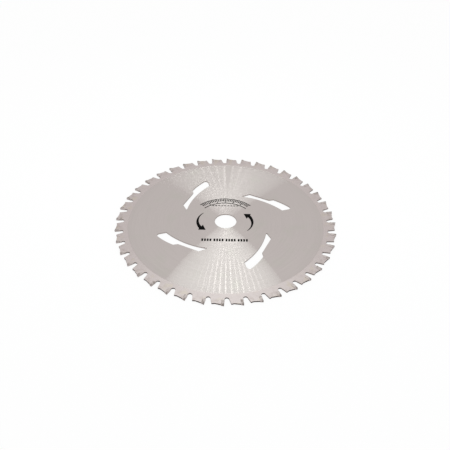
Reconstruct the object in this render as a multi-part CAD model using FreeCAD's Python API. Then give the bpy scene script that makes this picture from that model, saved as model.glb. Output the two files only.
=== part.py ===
"""Carbide-tipped disc blade for a brush cutter: a thin steel plate with a round bore, four curved
slots and forty teeth, and a hard tip brazed into a seat at the front of each tooth.

Lengths are in millimetres and angles in degrees. The origin is the centre of the bore, halfway
through the plate. +Z is the shaft axis and points to the printed side. +X passes through a cutting
edge. Seen from the printed side, the blade cuts turning counter-clockwise.
"""

import FreeCAD
import Part

import math
import os

# Plate
blade_diameter = 255.0
plate_thickness = 1.6
bore_diameter = 25.4
tooth_count = 40

# Gullet in front of each cutting edge
gullet_depth = 9.95
gullet_radius = 2.45
face_lean = 4.7
gullet_wall_slope = 19.0

# Back of each tooth, behind its tip: it falls away to a dip, then rises to the heel
relief_angle = 14.4
heel_drop = 1.65
dip_to_heel = 3.1
heel_radius = 0.5

# Carbide tips
tip_height = 6.5
tip_thickness = 3.1
tip_width = 2.4
tip_back_taper = 2.0
tip_root_taper = 1.5
tip_face_proud = 0.3
tip_top_proud = 0.2

# Slots, each laid out along an arc whose centre is off the bore's
slot_count = 4
slot_arc_radius = 88.8
slot_arc_offset = 41.15
slot_arc_direction = -85.2
slot_start = 44.2
slot_sweep = 36.0
slot_end_skew = 3.45
slot_end_width = 11.8
slot_shoulder_sweep = 12.6
slot_shoulder_width = 10.2
slot_shoulder_run = 2.3
slot_neck_width = 6.3
slot_heel_run = 5.5
slot_heel_width = 7.25
slot_outer_bow = 1.3
slot_end_corner_radius = 3.2
slot_tip_corner_radius = 0.7

tip_circle = blade_diameter / 2
pitch_angle = 360.0 / tooth_count
ORIGIN = FreeCAD.Vector(0, 0, 0)
UP = FreeCAD.Vector(0, 0, 1)
touching = 0.001


def flat(x, y):
    """A point or a direction in the blade's middle plane."""
    return FreeCAD.Vector(x, y, 0)


def heading(angle):
    """The unit direction at an angle from +X."""
    return flat(math.cos(math.radians(angle)), math.sin(math.radians(angle)))


def turned(point, angle):
    """A point turned about the shaft axis."""
    return FreeCAD.Rotation(UP, angle).multVec(point)


def angle_of(point):
    """The angle of a point from +X, seen from the bore's centre."""
    return math.degrees(math.atan2(point.y, point.x))


def meet_circle(start, direction, radius, farther):
    """Where a line through start meets the circle of that radius about the bore."""
    along = start.dot(direction)
    reach = math.sqrt(along**2 - start.dot(start) + radius**2)
    return start + direction * (reach - along if farther else -reach - along)


def meet_ray(start, direction, angle):
    """Where a line through start meets the ray that leaves the bore's centre at that angle."""
    across = heading(angle + 90)
    return start - direction * (start.dot(across) / direction.dot(across))


def line(start, end):
    return Part.LineSegment(start, end).toShape()


def arc(start, middle, end):
    return Part.Arc(start, middle, end).toShape()


def rounding(corner, before, after, radius):
    """The start, middle and end of the arc that rounds a corner between two straight edges."""
    back = (before - corner).normalize()
    ahead = (after - corner).normalize()
    half_angle = back.getAngle(ahead) / 2
    inward = (back + ahead).normalize()
    middle = corner + inward * (radius / math.sin(half_angle) - radius)
    setback = radius / math.tan(half_angle)
    return corner + back * setback, middle, corner + ahead * setback


# The tooth on +X: its front face leans back, so it runs inward and forward from the cutting edge.
down_face = flat(-math.cos(math.radians(face_lean)), math.sin(math.radians(face_lean)))
backward = flat(-math.sin(math.radians(face_lean)), -math.cos(math.radians(face_lean)))
down_relief = flat(-math.sin(math.radians(relief_angle)), -math.cos(math.radians(relief_angle)))

cutting_edge = flat(tip_circle, 0)
tip_toe = cutting_edge + down_face * tip_height
seat_corner = tip_toe + backward * tip_thickness
tip_back = cutting_edge + down_relief * (tip_thickness / down_relief.dot(backward))

seat_top = tip_back + down_face * tip_top_proud
ledge_front = tip_toe + backward * tip_face_proud


def one_tooth_edges():
    """The outline from the seat on +X, through the gullet ahead of it, to the next tooth's seat."""
    centre_line = ledge_front - backward * gullet_radius
    centre_radius = tip_circle - gullet_depth + gullet_radius
    centre = meet_circle(centre_line, down_face, centre_radius, farther=False)
    face_foot = centre + backward * gullet_radius
    bottom = centre * (1 - gullet_radius / centre.Length)
    wall_foot = centre + heading(gullet_wall_slope + 90) * gullet_radius

    heel_circle = tip_circle - heel_drop
    heel = meet_circle(wall_foot, heading(gullet_wall_slope), heel_circle, farther=True)
    dip_angle = angle_of(heel) + math.degrees(dip_to_heel / heel_circle)
    next_seat_top = turned(seat_top, pitch_angle)
    dip = meet_ray(next_seat_top, turned(down_relief, pitch_angle), dip_angle)
    heel_start, heel_middle, heel_end = rounding(heel, wall_foot, dip, heel_radius)

    edges = [line(seat_top, seat_corner), line(seat_corner, ledge_front), line(ledge_front, face_foot)]
    edges += [arc(face_foot, bottom, wall_foot), line(wall_foot, heel_start)]
    edges += [arc(heel_start, heel_middle, heel_end), line(heel_end, dip), line(dip, next_seat_top)]
    return edges


def toothed_outline():
    """The plate's outer edge: one tooth's edges, repeated round the bore."""
    one_tooth = one_tooth_edges()
    edges = []
    for tooth in range(tooth_count):
        for edge in one_tooth:
            copy = edge.copy()
            copy.rotate(ORIGIN, UP, tooth * pitch_angle)
            edges.append(copy)
    return Part.Wire(edges)


def slot_point(sweep, width):
    """A point on a slot's outline, by its angle along the slot's arc and its distance outside it."""
    centre = heading(slot_arc_direction) * slot_arc_offset
    return centre + heading(slot_start + sweep) * (slot_arc_radius + width)


def bowed(start, end, bow):
    """An arc from start to end that bulges to the left of the way it runs."""
    along = end - start
    aside = flat(-along.y, along.x).normalize()
    return arc(start, (start + end) / 2 + aside * bow, end)


def with_round_corner(prism, corner, radius):
    """The prism with its upright edge at a corner of the outline rounded."""
    upright = [
        edge
        for edge in prism.Edges
        if all((vertex.Point - corner).cross(UP).Length < touching for vertex in edge.Vertexes)
    ]
    return prism.makeFillet(radius, upright)


def slot_cutter():
    """The prism that cuts one slot: a narrow neck, a step, a wide outer end and a pointed inner one."""
    inner_start = slot_point(0, 0)
    inner_middle = slot_point(slot_sweep / 2, 0)
    inner_tip = slot_point(slot_sweep, 0)
    heel = slot_point(slot_sweep - slot_heel_run, slot_heel_width)
    neck = slot_point(slot_shoulder_sweep + slot_shoulder_run, slot_neck_width)
    shoulder = slot_point(slot_shoulder_sweep, slot_shoulder_width)
    outer_end = slot_point(-slot_end_skew, slot_end_width)

    edges = [arc(inner_start, inner_middle, inner_tip), line(inner_tip, heel), line(heel, neck)]
    edges += [line(neck, shoulder), bowed(shoulder, outer_end, slot_outer_bow)]
    edges += [line(outer_end, inner_start)]
    height = plate_thickness * 2
    prism = Part.Face(Part.Wire(edges)).extrude(UP * height)
    prism = with_round_corner(prism, outer_end, slot_end_corner_radius)
    prism = with_round_corner(prism, inner_tip, slot_tip_corner_radius)
    prism.translate(UP * (-height / 2))
    return prism


def blade_plate():
    """The steel plate, cut through with the bore and the slots."""
    plate = Part.Face(toothed_outline()).extrude(UP * plate_thickness)
    plate.translate(UP * (-plate_thickness / 2))
    bore = Part.makeCylinder(bore_diameter / 2, plate_thickness * 2, UP * -plate_thickness, UP)
    cutters = [bore]
    for number in range(slot_count):
        cutter = slot_cutter()
        cutter.rotate(ORIGIN, UP, number * 360.0 / slot_count)
        cutters.append(cutter)
    return plate.cut(cutters)


def carbide_tip():
    """The tip of the tooth on +X: a block whose sides taper in towards its back and its root."""
    outline = [cutting_edge, tip_back, seat_corner, tip_toe]
    back_slope = math.tan(math.radians(tip_back_taper))
    root_slope = math.tan(math.radians(tip_root_taper))
    upper = []
    lower = []
    for corner in outline:
        from_edge = corner - cutting_edge
        taper = from_edge.dot(backward) * back_slope + from_edge.dot(down_face) * root_slope
        rise = UP * (tip_width / 2 - taper)
        upper.append(corner + rise)
        lower.append(corner - rise)
    faces = [Part.Face(Part.makePolygon(upper + upper[:1])), Part.Face(Part.makePolygon(lower + lower[:1]))]
    for here in range(len(outline)):
        after = (here + 1) % len(outline)
        side = [upper[here], upper[after], lower[after], lower[here], upper[here]]
        faces.append(Part.Face(Part.makePolygon(side)))
    tip = Part.Solid(Part.Shell(faces))
    if tip.Volume < 0:
        tip.reverse()
    return tip


def main():
    os.makedirs("parts", exist_ok=True)
    plate = blade_plate()
    plate.exportStep("parts/blade_plate.step")
    print(f"blade_plate: {plate.Volume:.0f} mm3, {len(plate.Faces)} faces, valid {plate.isValid()}")
    for number in range(tooth_count):
        tip = carbide_tip()
        tip.rotate(ORIGIN, UP, number * pitch_angle)
        tip.exportStep(f"parts/tip_{number + 1:02d}.step")
    print(f"{tooth_count} tips: {tip.Volume:.1f} mm3 each, valid {tip.isValid()}")


main()
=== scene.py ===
# %% [markdown]
# # A carbide-tipped brush cutter blade
#
# The blade is a thin steel disc, 255 mm across. Its steel plate and its forty carbide tips come in
# as a fixed frame, with every size already right. What is left for this lesson is how it looks:
# a face ground in circles that throws two bright fans of light, a dull rim, brazed tips, dark cut
# walls, and black ink on the upper face.
#
# Everything is in metres, with the origin at the bore's centre and +Z towards the printed side.

import math

import bmesh
import bpy
from mathutils import Matrix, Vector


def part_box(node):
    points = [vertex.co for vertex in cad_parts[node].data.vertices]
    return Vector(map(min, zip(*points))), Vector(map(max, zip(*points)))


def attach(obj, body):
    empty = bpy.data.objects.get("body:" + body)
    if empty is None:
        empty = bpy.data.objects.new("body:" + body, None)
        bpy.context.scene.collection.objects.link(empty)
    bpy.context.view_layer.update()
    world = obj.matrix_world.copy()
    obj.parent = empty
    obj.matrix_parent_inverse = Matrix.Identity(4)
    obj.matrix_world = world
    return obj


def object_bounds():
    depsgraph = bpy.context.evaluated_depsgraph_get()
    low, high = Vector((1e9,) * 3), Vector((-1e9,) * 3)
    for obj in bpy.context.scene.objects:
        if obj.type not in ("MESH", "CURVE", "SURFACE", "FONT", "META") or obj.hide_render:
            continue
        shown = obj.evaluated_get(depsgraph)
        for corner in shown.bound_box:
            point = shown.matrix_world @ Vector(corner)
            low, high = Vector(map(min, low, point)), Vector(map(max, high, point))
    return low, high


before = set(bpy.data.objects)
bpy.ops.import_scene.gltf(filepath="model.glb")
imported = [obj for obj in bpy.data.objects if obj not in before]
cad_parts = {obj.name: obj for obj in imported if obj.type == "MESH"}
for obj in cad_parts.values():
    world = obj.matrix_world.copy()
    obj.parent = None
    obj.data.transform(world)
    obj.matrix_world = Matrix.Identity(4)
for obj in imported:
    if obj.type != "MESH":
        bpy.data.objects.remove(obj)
cad_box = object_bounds()

MM = 0.001
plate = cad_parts["blade_plate"]
tips = [node for name, node in sorted(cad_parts.items()) if name.startswith("tip_")]
face_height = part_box("blade_plate")[1].z
lowest = cad_box[0].z
blade_radius = cad_box[1].x
tooth_count = len(tips)
print(f"{tooth_count} tips, {blade_radius / MM:.1f} mm radius, upper face at {face_height / MM:.2f} mm")

# %% [markdown]
# ## The camera
#
# The blade is seen from the front and above, from a little over 60 cm away. Its round bore and rim
# look like ellipses, and their proportions and places give the camera's height, distance and lens.
# The small pan, tilt and roll put the blade where the picture has it, so no lens shift is needed.

# %% Camera
sensor_width = 36.0
lens_length = 43.54
camera_distance = 632.97 * MM
camera_elevation = math.radians(40.66)
camera_turn = math.radians(0.211)
camera_pan = math.radians(-0.061)
camera_tilt = math.radians(-0.431)
camera_roll = math.radians(0.816)

camera_data = bpy.data.cameras.new("camera")
camera_data.sensor_width = sensor_width
camera_data.lens = lens_length
camera_data.clip_start = 0.01
camera_data.clip_end = 100
camera = bpy.data.objects.new("camera", camera_data)
bpy.context.scene.collection.objects.link(camera)
bpy.context.scene.camera = camera

place = Matrix.Translation((0, 0, face_height)) @ Matrix.Rotation(camera_turn, 4, "Z")
stand = Matrix.Translation(
    (0, -camera_distance * math.cos(camera_elevation), camera_distance * math.sin(camera_elevation))
)
aim = Matrix.Rotation(math.pi / 2 - camera_elevation, 4, "X") @ Matrix.Rotation(-camera_pan, 4, "Y")
nudge = Matrix.Rotation(camera_tilt, 4, "X") @ Matrix.Rotation(camera_roll, 4, "Z")
camera.matrix_world = place @ stand @ aim @ nudge
print("camera at", [round(value, 4) for value in camera.matrix_world.translation])

# %% [markdown]
# ## Helpers for the finishes
#
# A finish is a small network of nodes. Written out by hand it is mostly links, so short helpers make
# one node each, give it its values or links, and return what it puts out. A finish then reads like
# a few lines of sums.

# %% Node helpers
def new_finish(name):
    """A material with its shader, and the node tree to build in."""
    material = bpy.data.materials.new(name)
    material.use_nodes = True
    return material, material.node_tree, material.node_tree.nodes["Principled BSDF"]


def feed(tree, socket, value):
    """Puts a plain value in a socket, or links a node's output to it."""
    if isinstance(value, bpy.types.NodeSocket):
        tree.links.new(value, socket)
    else:
        socket.default_value = value


def sum_of(tree, operation, first, second=0.0):
    """One Math node."""
    node = tree.nodes.new("ShaderNodeMath")
    node.operation = operation
    for socket, value in zip(node.inputs, (first, second)):
        feed(tree, socket, value)
    return node.outputs[0]


def vector_of(tree, operation, first, second=(0, 0, 0)):
    """One Vector Math node."""
    node = tree.nodes.new("ShaderNodeVectorMath")
    node.operation = operation
    feed(tree, node.inputs[0], first)
    feed(tree, node.inputs[1], second)
    return node.outputs[0]


def facing(tree, first, second):
    """1 where two directions are the same, 0 where they are square to each other."""
    node = tree.nodes.new("ShaderNodeVectorMath")
    node.operation = "DOT_PRODUCT"
    feed(tree, node.inputs[0], first)
    feed(tree, node.inputs[1], second)
    return node.outputs["Value"]


def scaled(tree, vector, factor):
    """A vector times a number."""
    node = tree.nodes.new("ShaderNodeVectorMath")
    node.operation = "SCALE"
    feed(tree, node.inputs[0], vector)
    feed(tree, node.inputs["Scale"], factor)
    return node.outputs[0]


def parts_of(tree, vector):
    """The X, Y and Z of a vector."""
    node = tree.nodes.new("ShaderNodeSeparateXYZ")
    feed(tree, node.inputs[0], vector)
    return node.outputs


def soft_step(tree, value, start, end, low=0.0, high=1.0):
    """low up to start, high past end, and smooth in between."""
    node = tree.nodes.new("ShaderNodeMapRange")
    node.interpolation_type = "SMOOTHSTEP"
    for socket, number in zip(node.inputs, (value, start, end, low, high)):
        feed(tree, socket, number)
    return node.outputs[0]


def between(tree, factor, low, high):
    """A number or a node's output between two others."""
    node = tree.nodes.new("ShaderNodeMapRange")
    for socket, number in zip(node.inputs, (factor, 0.0, 1.0, low, high)):
        feed(tree, socket, number)
    return node.outputs[0]


def blended(tree, factor, first, second):
    """A colour between two others."""
    node = tree.nodes.new("ShaderNodeMix")
    node.data_type = "RGBA"
    feed(tree, node.inputs["Factor"], factor)
    feed(tree, node.inputs["A"], first)
    feed(tree, node.inputs["B"], second)
    return node.outputs["Result"]


def noise(tree, where, size, detail=2.0):
    """Smooth noise from 0 to 1, whose lumps are about that size across."""
    node = tree.nodes.new("ShaderNodeTexNoise")
    feed(tree, node.inputs["Vector"], where)
    node.inputs["Scale"].default_value = 1 / size
    node.inputs["Detail"].default_value = detail
    return node.outputs["Fac"]


def rgba(red, green, blue):
    """A colour given as a screen shows it, 0 to 255, as the linear value that nodes use."""
    screen = [value / 255 for value in (red, green, blue)]
    return (*[((v + 0.055) / 1.055) ** 2.4 if v > 0.04045 else v / 12.92 for v in screen], 1.0)


# %% [markdown]
# ## Where a point lies on the blade
#
# Everything on this blade goes round the bore: the scratches, the rim band and the teeth. So each
# finish starts from a point's radius, its outward direction, the direction round the circle, and how
# far it is from one cutting edge to the next. The cutting edges are at whole numbers of that last
# value, and a tip lies just before each.

# %% Places on the blade
def polar(tree):
    """A point's position, its radius, the outward and round directions, and its place among the teeth."""
    position = tree.nodes.new("ShaderNodeTexCoord").outputs["Object"]
    flat = vector_of(tree, "MULTIPLY", position, (1, 1, 0))
    length = tree.nodes.new("ShaderNodeVectorMath")
    length.operation = "LENGTH"
    feed(tree, length.inputs[0], flat)
    outward = vector_of(tree, "NORMALIZE", flat)
    around = vector_of(tree, "CROSS_PRODUCT", (0, 0, 1), outward)
    axes = parts_of(tree, outward)
    turn = sum_of(tree, "ARCTAN2", axes["Y"], axes["X"])
    teeth_passed = sum_of(tree, "MULTIPLY", turn, tooth_count / math.tau)
    return position, length.outputs["Value"], outward, around, sum_of(tree, "FRACT", teeth_passed)


# %% [markdown]
# ## The plate's ground face
#
# The plate spins under a grinding wheel, so every scratch is part of a circle round the bore. Its
# sides tilt in and out along the radius, and hardly at all along the circle. That is why a lamp
# overhead shows as two fans with sharp straight sides: a scratch spreads light in a plane across
# itself, and only the scratches square to the lamp spread it towards the camera.
#
# A Principled shader's gloss can be at most ten times as wide along the radius as across it, and
# these fans need more than a hundred. A Glossy shader has no such limit. Its Beckmann gloss takes
# the tilts of scratches as they are measured: how steep they usually are along the radius, and how
# steep along the circle. The blasted rim band beyond the ground face spreads light nearly evenly
# both ways, so the fans end there. Towards the bore the scratches are less straight, and next to it
# less steep. Each zone goes over into the next in equal ratios, as a plain mix of the two would show
# a bright line where they meet. Faint rings lean a little more in or out than their neighbours, which
# draws the fine circles in the fans.

# %% Gloss of the plate
ground_tilts = (0.27, 0.0012)
near_bore_tilts = (0.27, 0.005)
bore_edge_tilts = (0.168, 0.009)
blasted_tilts = (0.226, 0.135)
wall_tilts = (0.143, 0.143)
near_bore_radius = 68 * MM
near_bore_blur = 7 * MM
bore_edge_radius = 30 * MM
bore_edge_blur = 13 * MM
rim_band_radius = 112.4 * MM
band_blur = 0.9 * MM
ring_width = 1.6 * MM
ring_breaks = 3.5
ring_tilt = 0.1
face_levels = (0.4, 0.6)


def gloss_of(tilts):
    """A Glossy shader's roughness and what its anisotropy lacks to 1, for tilts along radius and circle."""
    wide, narrow = [tilt * math.sqrt(2) for tilt in tilts]
    middle = math.sqrt(wide * narrow)
    return math.sqrt(middle), narrow / middle


def graded(tree, factor, low, high):
    """A value that goes from one to the other in equal ratios, so a gloss widens evenly."""
    ratio = sum_of(tree, "POWER", sum_of(tree, "DIVIDE", high, low), factor)
    return sum_of(tree, "MULTIPLY", low, ratio)


def ring_noise(tree, radius, outward):
    """Noise in long arcs round the bore, each about a ring's width across."""
    axes = parts_of(tree, scaled(tree, outward, ring_breaks))
    place = tree.nodes.new("ShaderNodeCombineXYZ")
    feed(tree, place.inputs["X"], axes["X"])
    feed(tree, place.inputs["Y"], axes["Y"])
    feed(tree, place.inputs["Z"], sum_of(tree, "DIVIDE", radius, ring_width))
    return noise(tree, place.outputs[0], size=1.0, detail=1.0)


print("gloss of the ground face:", [round(value, 3) for value in gloss_of(ground_tilts)])

# %% [markdown]
# ## Colours of the faces and the cut walls
#
# The steel is a warm grey with faint greenish patches. The rings are a shade lighter or darker than
# their neighbours, and the last centimetre before the rim band is a shade darker.
#
# Behind the tips some teeth keep a faint straw colour from the brazing torch, and small brown spots
# of flux grow denser towards the teeth's outer edges. Both are noise with a soft threshold, so no two
# teeth look the same.
#
# The laser leaves the cut walls without scratches and darker than the faces. The gullets' walls are
# darker than the slots', and darkest where they face straight out.

# %% Colours of the plate
steel_colour = rgba(186, 178, 175)
steel_greenish = rgba(184, 178, 173)
rim_colour = rgba(184, 174, 172)
patch_size = 26 * MM
patch_levels = (0.5, 0.75)
ring_contrast = 0.03
edge_shade = 0.02
edge_shade_width = 12 * MM
straw_colour = rgba(184, 174, 158)
straw_size = 9 * MM
straw_levels = (0.5, 0.68)
straw_places = (0.35, 0.85)
straw_radii = (rim_band_radius - 2 * MM, rim_band_radius + 6 * MM)
straw_share = 0.5
tooth_stain = rgba(160, 148, 143)
spot_size = 4 * MM
spot_levels = (0.46, 0.64)
spot_start_radius = rim_band_radius + 2 * MM
spot_shares = (0.1, 0.6)
slot_wall_colour = rgba(162, 153, 149)
gullet_side_colour = rgba(124, 115, 111)
gullet_floor_colour = rgba(74, 67, 65)
gullet_start_radius = rim_band_radius - 3 * MM
gullet_floor_facing = (0.3, 0.9)


def steel_colour_of(tree, position, radius, rings, on_rim):
    """The bare steel's colour, with its patches, its rings and the rim band."""
    patches = soft_step(tree, noise(tree, position, patch_size), *patch_levels)
    colour = blended(tree, patches, steel_colour, steel_greenish)
    shade_start = rim_band_radius - edge_shade_width
    shade = soft_step(tree, radius, shade_start, rim_band_radius, 1.0, 1 - edge_shade)
    colour = blended(tree, on_rim, scaled(tree, colour, shade), rim_colour)
    ring_shade = between(tree, sum_of(tree, "ADD", rings, 0.5), 1 - ring_contrast, 1 + ring_contrast)
    return scaled(tree, colour, ring_shade)


def with_tooth_marks(tree, colour, position, radius, tooth_place, on_rim):
    """A face colour with the torch's straw behind the tips and the flux spots on the teeth."""
    behind_tip = soft_step(tree, tooth_place, *straw_places)
    scorched = soft_step(tree, noise(tree, position, straw_size, detail=1.0), *straw_levels)
    outer_teeth = soft_step(tree, radius, *straw_radii)
    straw = sum_of(tree, "MULTIPLY", sum_of(tree, "MULTIPLY", behind_tip, scorched), outer_teeth)
    colour = blended(tree, sum_of(tree, "MULTIPLY", straw, straw_share), colour, straw_colour)
    spots = soft_step(tree, noise(tree, position, spot_size, detail=3.0), *spot_levels)
    near_edge = soft_step(tree, radius, spot_start_radius, blade_radius, *spot_shares)
    stained = sum_of(tree, "MULTIPLY", sum_of(tree, "MULTIPLY", spots, near_edge), on_rim)
    return blended(tree, stained, colour, tooth_stain)


def wall_colour_of(tree, radius, outward, normal):
    """The cut walls' colour, in the slots and in the gullets."""
    in_gullet = soft_step(tree, radius, gullet_start_radius, rim_band_radius)
    facing_out = soft_step(tree, facing(tree, normal, outward), *gullet_floor_facing)
    gullet_colour = blended(tree, facing_out, gullet_side_colour, gullet_floor_colour)
    return blended(tree, in_gullet, slot_wall_colour, gullet_colour)


print("ground face ends and rim band starts at", round(rim_band_radius / MM, 1), "mm")

# %% [markdown]
# ## The plate's finish
#
# The faces are told from the walls by their normals, which point up or down. One Glossy shader then
# takes its roughness, its direction and its colour from the zones above.

# %% Plate finish
def ground_steel():
    """Steel ground in circles, with a blasted rim band and laser-cut walls."""
    material, tree, plain_shader = new_finish("ground_steel")
    tree.nodes.remove(plain_shader)
    gloss = tree.nodes.new("ShaderNodeBsdfAnisotropic")
    gloss.distribution = "BECKMANN"
    tree.links.new(gloss.outputs[0], tree.nodes["Material Output"].inputs["Surface"])

    position, radius, outward, around, tooth_place = polar(tree)
    normal = tree.nodes.new("ShaderNodeNewGeometry").outputs["True Normal"]
    on_face = soft_step(tree, sum_of(tree, "ABSOLUTE", parts_of(tree, normal)["Z"]), *face_levels)
    on_rim = soft_step(tree, radius, rim_band_radius - band_blur, rim_band_radius + band_blur)
    near_bore = soft_step(
        tree, radius, near_bore_radius + near_bore_blur, near_bore_radius - near_bore_blur
    )
    at_bore = soft_step(
        tree, radius, bore_edge_radius + bore_edge_blur, bore_edge_radius - bore_edge_blur
    )

    spreads = []
    tilts = (ground_tilts, near_bore_tilts, bore_edge_tilts, blasted_tilts, wall_tilts)
    for ground, inner, innermost, blasted, wall in zip(*[gloss_of(pair) for pair in tilts]):
        spread = graded(tree, at_bore, graded(tree, near_bore, ground, inner), innermost)
        spread = graded(tree, on_rim, spread, blasted)
        spreads.append(graded(tree, on_face, wall, spread))
    feed(tree, gloss.inputs["Roughness"], spreads[0])
    feed(tree, gloss.inputs["Anisotropy"], sum_of(tree, "SUBTRACT", 1.0, spreads[1]))
    feed(tree, gloss.inputs["Tangent"], around)

    rings = sum_of(tree, "SUBTRACT", ring_noise(tree, radius, outward), 0.5)
    ring_lean = sum_of(tree, "MULTIPLY", rings, between(tree, on_rim, ring_tilt, 0.0))
    lean = scaled(tree, outward, sum_of(tree, "MULTIPLY", ring_lean, on_face))
    feed(tree, gloss.inputs["Normal"], vector_of(tree, "NORMALIZE", vector_of(tree, "ADD", normal, lean)))

    face_colour = steel_colour_of(tree, position, radius, rings, on_rim)
    face_colour = with_tooth_marks(tree, face_colour, position, radius, tooth_place, on_rim)
    wall_colour = wall_colour_of(tree, radius, outward, normal)
    feed(tree, gloss.inputs["Color"], blended(tree, on_face, wall_colour, face_colour))
    return material


plate_finish = ground_steel()
plate.data.materials.clear()
plate.data.materials.append(plate_finish)
print("plate finish has", len(plate_finish.node_tree.nodes), "nodes")

# %% [markdown]
# ## The carbide tips
#
# A tip is sintered tungsten carbide, about as grey as the steel. It is ground on all its sides, but
# brazing leaves it dull, with uneven darker stains of flux and scorched metal. The outer front
# corner, which has the thinnest edge, is the darkest. The stains are smooth noise, a few millimetres
# across, so no two tips look the same.

# %% Tip finish
carbide_colour = rgba(186, 177, 174)
carbide_stain = rgba(148, 139, 133)
carbide_corner = rgba(126, 116, 112)
stain_size = 3.2 * MM
stain_levels = (0.48, 0.68)
stain_share = 0.7
corner_reach = 4.5 * MM
corner_places = (0.86, 1.0)
carbide_roughness = 0.6
stain_roughness = 0.72


def brazed_carbide():
    """Ground tungsten carbide with stains, darkest at the outer front corner."""
    material, tree, shader = new_finish("brazed_carbide")
    position, radius, _, _, tooth_place = polar(tree)
    stain = soft_step(tree, noise(tree, position, stain_size), *stain_levels)
    at_front = soft_step(tree, tooth_place, *corner_places)
    at_rim = soft_step(tree, radius, blade_radius - corner_reach, blade_radius)
    corner = sum_of(tree, "MULTIPLY", at_front, at_rim)
    colour = blended(tree, sum_of(tree, "MULTIPLY", stain, stain_share), carbide_colour, carbide_stain)
    feed(tree, shader.inputs["Base Color"], blended(tree, corner, colour, carbide_corner))
    feed(tree, shader.inputs["Roughness"], between(tree, stain, carbide_roughness, stain_roughness))
    shader.inputs["Metallic"].default_value = 1.0
    return material


tip_finish = brazed_carbide()
for tip in tips:
    tip.data.materials.clear()
    tip.data.materials.append(tip_finish)
print("tip finish on", tooth_count, "tips")

# %% [markdown]
# ## Ink on the upper face
#
# The real blade is printed by a screen or a pad, with a film of black ink a few hundredths of a
# millimetre thick. It could be painted in the plate's material, but a film with a real thickness
# keeps sharp edges at any distance and is its own piece. Each shape is drawn flat round the print's
# own centre, which is not quite the bore's, then given its thickness and laid on the face. It reaches
# a little into the plate, so that its underside never flickers against the steel.

# %% Ink and how it is laid on
ink_colour = rgba(6, 6, 6)
ink_thin_colour = rgba(12, 11, 11)
ink_patch_size = 1.5 * MM
ink_roughness = 0.55
ink_thin_roughness = 0.7
ink_shine = 0.02
ink_thickness = 0.03 * MM
ink_sunk = 0.01 * MM
print_centre_x = -0.8 * MM
print_centre_y = -1.4 * MM


def black_ink():
    """Satin black ink, a little uneven in gloss."""
    material, tree, shader = new_finish("black_ink")
    position = tree.nodes.new("ShaderNodeTexCoord").outputs["Object"]
    uneven = noise(tree, position, ink_patch_size, detail=3.0)
    feed(tree, shader.inputs["Base Color"], blended(tree, uneven, ink_colour, ink_thin_colour))
    feed(tree, shader.inputs["Roughness"], between(tree, uneven, ink_roughness, ink_thin_roughness))
    shader.inputs["Specular IOR Level"].default_value = ink_shine
    return material


ink = black_ink()


def lay_ink(name, shape):
    """Gives a flat shape the film's thickness, lays it on the upper face and makes it a piece."""
    flat_part = list(shape.faces)
    raised = bmesh.ops.extrude_face_region(shape, geom=flat_part)
    top = [part for part in raised["geom"] if isinstance(part, bmesh.types.BMVert)]
    bmesh.ops.translate(shape, vec=(0, 0, ink_thickness + ink_sunk), verts=top)
    bmesh.ops.translate(
        shape, vec=(print_centre_x, print_centre_y, face_height - ink_sunk), verts=shape.verts
    )
    bmesh.ops.recalc_face_normals(shape, faces=shape.faces)
    closed = all(edge.is_manifold for edge in shape.edges)
    mesh = bpy.data.meshes.new(name)
    shape.to_mesh(mesh)
    shape.free()
    piece = bpy.data.objects.new(name, mesh)
    bpy.context.scene.collection.objects.link(piece)
    mesh.materials.append(ink)
    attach(piece, "root")
    print(f"{name}: {len(mesh.polygons)} faces, closed: {closed}")


# %% [markdown]
# ## The two rotation arrows
#
# An arrow on each side of the bore shows which way the blade turns: counter-clockwise, with the
# cutting edges leading. An arrow is a crescent between two arcs of slightly different centres, which
# makes it thin at the tail and thick at the head, and a three-cornered head. Spinning a single
# vertex draws an arc, and the head's corners close the outline. The second arrow is the first one
# turned half a circle.

# %% Rotation arrows
arrow_outer = {"centre": (-12.5, -0.4), "radius": 20.7, "start": 131.2, "end": 214.4}
arrow_inner = {"centre": (-12.1, 2.2), "radius": 18.4, "start": 134.6, "end": 216.7}
arrow_head = ((-30.3, -14.7), (-21.8, -14.7), (-25.4, -5.8))
arrow_steps = 24


def spin_arc(shape, centre, radius, start, end):
    """Spins a vertex into an arc, in millimetres and degrees, and returns the arc's two ends."""
    start_turn = math.radians(start)
    middle = (centre[0] * MM, centre[1] * MM, 0)
    first = shape.verts.new(
        (middle[0] + radius * MM * math.cos(start_turn), middle[1] + radius * MM * math.sin(start_turn), 0)
    )
    spun = bmesh.ops.spin(
        shape,
        geom=[first],
        cent=middle,
        axis=(0, 0, 1),
        angle=math.radians(end - start),
        steps=arrow_steps,
    )
    last = [part for part in spun["geom_last"] if isinstance(part, bmesh.types.BMVert)][0]
    return first, last


def arrow_shape(turn):
    """One flat arrow, turned about the print's centre."""
    shape = bmesh.new()
    outer_tail, outer_neck = spin_arc(shape, **arrow_outer)
    inner_tail, inner_neck = spin_arc(shape, **arrow_inner)
    outer_barb, point, inner_barb = [shape.verts.new((x * MM, y * MM, 0)) for x, y in arrow_head]
    outline = (outer_neck, outer_barb, point, inner_barb, inner_neck)
    for corner, after in zip(outline, outline[1:]):
        shape.edges.new((corner, after))
    shape.edges.new((inner_tail, outer_tail))
    bmesh.ops.contextual_create(shape, geom=shape.edges[:])
    bmesh.ops.triangulate(shape, faces=shape.faces[:])
    bmesh.ops.rotate(shape, cent=(0, 0, 0), matrix=Matrix.Rotation(turn, 3, "Z"), verts=shape.verts)
    return shape


lay_ink("rotation_arrow_left", arrow_shape(0.0))
lay_ink("rotation_arrow_right", arrow_shape(math.pi))

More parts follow.
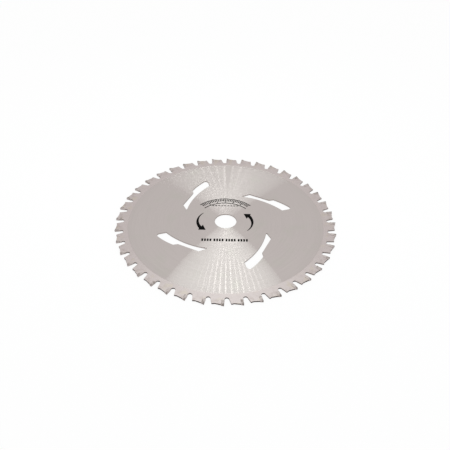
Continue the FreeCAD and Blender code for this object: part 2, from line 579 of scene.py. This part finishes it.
# %% [markdown]
# ## A plain scale and a row of bars
#
# Behind the bore and in front of it the face carries plain marks that say nothing. One is a scale,
# like the one on a dial, with ticks between two arcs and a row of dashes below. The other is a row of
# bars with round corners, in groups of four. They are printed with the arrows' ink, in one pass, and
# keep the face as busy as a real blade's.
#
# A line of ink along an arc is a short edge spun round the print's centre. Ticks, dashes and bars
# are small grids of one face, cut to size and turned to their places.

# %% Scale and bars
scale_inner_radius = 34.6
scale_outer_radius = 42.6
scale_reach = 45.0
scale_line = 1.15
scale_steps = 48
tick_width = 1.1
tick_gap = 0.55
tick_step = 3.0
tick_margin = 1.0
long_tick_every = 5
short_tick_share = 0.62
dash_row_y = 29.3
dash_size = (2.4, 1.2)
dash_step = 3.6
dash_count = 9
bar_row_y = -31.4
bar_size = (2.0, 4.1)
bar_step = 3.05
bars_in_group = 4
bar_groups = 4
bar_corner = 0.45
bar_corner_steps = 4
group_gap_share = 0.45


def add_bar(shape, centre, size, turn=0.0, corner=0.0):
    """Adds a flat bar in millimetres, its corners rounded if they are given a radius."""
    laid_before = set(shape.verts)
    corners = bmesh.ops.create_grid(shape, x_segments=1, y_segments=1, size=0.5)["verts"]
    bmesh.ops.scale(shape, vec=(size[0] * MM, size[1] * MM, 1), verts=corners)
    if corner:
        bmesh.ops.bevel(
            shape,
            geom=corners,
            offset=corner * MM,
            affect="VERTICES",
            segments=bar_corner_steps,
            profile=0.5,
            material=-1,
        )
    bar = [vert for vert in shape.verts if vert not in laid_before]
    bmesh.ops.rotate(shape, cent=(0, 0, 0), matrix=Matrix.Rotation(turn, 3, "Z"), verts=bar)
    bmesh.ops.translate(shape, vec=(centre[0] * MM, centre[1] * MM, 0), verts=bar)


def add_arc_line(shape, radius, width, reach):
    """Adds a flat line of ink along an arc over the bore, that far to both sides."""
    start_turn = math.radians(90 - reach)
    ends = [
        shape.verts.new((r * MM * math.cos(start_turn), r * MM * math.sin(start_turn), 0))
        for r in (radius - width / 2, radius + width / 2)
    ]
    edge = shape.edges.new(ends)
    bmesh.ops.spin(
        shape,
        geom=[*ends, edge],
        cent=(0, 0, 0),
        axis=(0, 0, 1),
        angle=math.radians(2 * reach),
        steps=scale_steps,
    )


def scale_shape():
    """Two arcs with ticks between them."""
    shape = bmesh.new()
    add_arc_line(shape, scale_inner_radius, scale_line, scale_reach)
    add_arc_line(shape, scale_outer_radius, scale_line, scale_reach)
    room = scale_outer_radius - scale_inner_radius - scale_line - 2 * tick_gap
    count = int((scale_reach - tick_margin) / tick_step)
    for number in range(-count, count + 1):
        long_tick = number % long_tick_every == 0
        length = room if long_tick else room * short_tick_share
        radius = scale_outer_radius - scale_line / 2 - tick_gap - length / 2
        turn = math.radians(number * tick_step)
        add_bar(shape, (-radius * math.sin(turn), radius * math.cos(turn)), (tick_width, length), turn)
    return shape


def row_shape(y, size, step, count, group=0, corner=0.0):
    """A row of bars, centred, with a wider space after each group."""
    shape = bmesh.new()
    gap = step * group_gap_share if group else 0
    places = [number * step + (number // group * gap if group else 0) for number in range(count)]
    middle = (places[0] + places[-1]) / 2
    for spot in places:
        add_bar(shape, (spot - middle, y), size, corner=corner)
    return shape


lay_ink("dial_scale", scale_shape())
lay_ink("dash_row", row_shape(dash_row_y, dash_size, dash_step, dash_count))
lay_ink(
    "bar_row",
    row_shape(bar_row_y, bar_size, bar_step, bars_in_group * bar_groups, bars_in_group, bar_corner),
)

# %% [markdown]
# ## The light
#
# Three things light the blade. White all round, a little brighter high up, gives the steel its grey.
# An oval softbox overhead gives the two fans. And two rows of narrow lamps just under the softbox,
# brightest in the middle of each row, give the thin bright streaks inside the fans.
#
# A streak is sharp only where a lamp lies along the line that the fan's scratches reflect. All those
# lines for the near fan spread from one point behind the softbox, and for the far fan from another.
# So each fan has its own row, and every lamp of a row is aimed at that fan's point. The softbox and
# the lamps have a little less red than white, which evens out the steel's warm grey in the fans.

# %% World and softbox
softbox_height = 407 * MM
softbox_width = 360 * MM
softbox_length = 250 * MM
softbox_x = -3 * MM
softbox_y = 102 * MM
softbox_glow = 1.42
softbox_tint = (0.87, 1.0, 0.98)
lamp_row_y = 105 * MM
lamp_offset = 2.4 * MM
lamp_pitch = 16.6 * MM
lamp_width = 1.2 * MM
lamp_tint = (0.95, 1.0, 0.99)
lamp_drop = 2 * MM
row_falloff = 4
row_cut_off = 1.4
sky_rise_start = 0.62
sky_rise_end = 0.88
sky_top_glow = 1.12
near_row = {"meet_y": 562, "middle_x": 20, "middle_y": 157, "length": 285, "reach": 100, "glow": 4.0}
far_row = {"meet_y": 283, "middle_x": 12, "middle_y": 120, "length": 210, "reach": 80, "glow": 4.0}

world = bpy.data.worlds.new("white_surroundings")
bpy.context.scene.world = world
world.use_nodes = True
world.node_tree.nodes["Background"].inputs["Color"].default_value = (1, 1, 1, 1)
direction = world.node_tree.nodes.new("ShaderNodeTexCoord").outputs["Generated"]
height = parts_of(world.node_tree, direction)["Z"]
sky_glow = soft_step(world.node_tree, height, sky_rise_start, sky_rise_end, 1.0, sky_top_glow)
feed(world.node_tree, world.node_tree.nodes["Background"].inputs["Strength"], sky_glow)


def add_lamp(name, centre, size, glow, tint, turn=0.0):
    """A flat oval lamp that shines down, as bright as glow where white is 1."""
    data = bpy.data.lights.new(name, "AREA")
    data.shape = "ELLIPSE"
    data.size, data.size_y = size
    area = math.pi * size[0] * size[1] / 4
    data.energy = glow * area * math.pi
    data.color = tint
    lamp = bpy.data.objects.new(name, data)
    lamp.location = centre
    lamp.rotation_euler.z = turn
    lamp.visible_camera = False
    bpy.context.scene.collection.objects.link(lamp)


softbox_place = (softbox_x, softbox_y, softbox_height)
add_lamp("softbox", softbox_place, (softbox_width, softbox_length), softbox_glow, softbox_tint)
for name, row in {"near": near_row, "far": far_row}.items():
    reach = row["reach"] * MM
    count = int(row_cut_off * reach / lamp_pitch)
    for number in range(-count, count + 1):
        across = lamp_offset + number * lamp_pitch
        share = math.exp(-(((across - row["middle_x"] * MM) / reach) ** row_falloff))
        turn = math.atan2(across, row["meet_y"] * MM - lamp_row_y)
        x = (row["meet_y"] - row["middle_y"]) * MM * math.tan(turn)
        centre = (x, row["middle_y"] * MM, softbox_height - lamp_drop)
        size = (lamp_width, row["length"] * MM)
        add_lamp(f"{name}_lamp_{number}", centre, size, row["glow"] * share, lamp_tint, turn)
    print(f"{2 * count + 1} narrow lamps for the {name} fan")

# %% [markdown]
# ## The floor
#
# The blade lies on plain white. The floor is mostly a white that the camera and the metal see at
# full strength, and a small part of it is lit, so that a faint shadow stays under the blade.

# %% Floor
floor_reach = 4.0
floor_sides = 64
floor_colour = (0.84, 0.84, 0.84, 1)
floor_roughness = 0.9
lit_share = 0.12

floor_mesh = bmesh.new()
bmesh.ops.create_circle(floor_mesh, cap_ends=True, radius=floor_reach, segments=floor_sides)
bmesh.ops.translate(floor_mesh, vec=(0, 0, lowest), verts=floor_mesh.verts)
floor_data = bpy.data.meshes.new("floor")
floor_mesh.to_mesh(floor_data)
floor_mesh.free()
floor = bpy.data.objects.new("floor", floor_data)
bpy.context.scene.collection.objects.link(floor)


def white_floor():
    """White to the camera and to reflections, and softly lit for everything else."""
    material, tree, shader = new_finish("white_floor")
    shader.inputs["Base Color"].default_value = floor_colour
    shader.inputs["Roughness"].default_value = floor_roughness
    shader.inputs["Specular IOR Level"].default_value = 0.0
    path = tree.nodes.new("ShaderNodeLightPath")
    seen = sum_of(tree, "MAXIMUM", path.outputs["Is Camera Ray"], path.outputs["Is Glossy Ray"])
    seen = sum_of(tree, "MAXIMUM", seen, path.outputs["Is Transmission Ray"])
    white = tree.nodes.new("ShaderNodeEmission")
    mix = tree.nodes.new("ShaderNodeMixShader")
    feed(tree, mix.inputs["Fac"], sum_of(tree, "MULTIPLY", seen, 1 - lit_share))
    tree.links.new(shader.outputs[0], mix.inputs[1])
    tree.links.new(white.outputs[0], mix.inputs[2])
    tree.links.new(mix.outputs[0], tree.nodes["Material Output"].inputs["Surface"])
    return material


floor_data.materials.append(white_floor())
print("floor at", round(lowest / MM, 2), "mm")

# %% View settings
bpy.context.scene.view_settings.view_transform = "Standard"
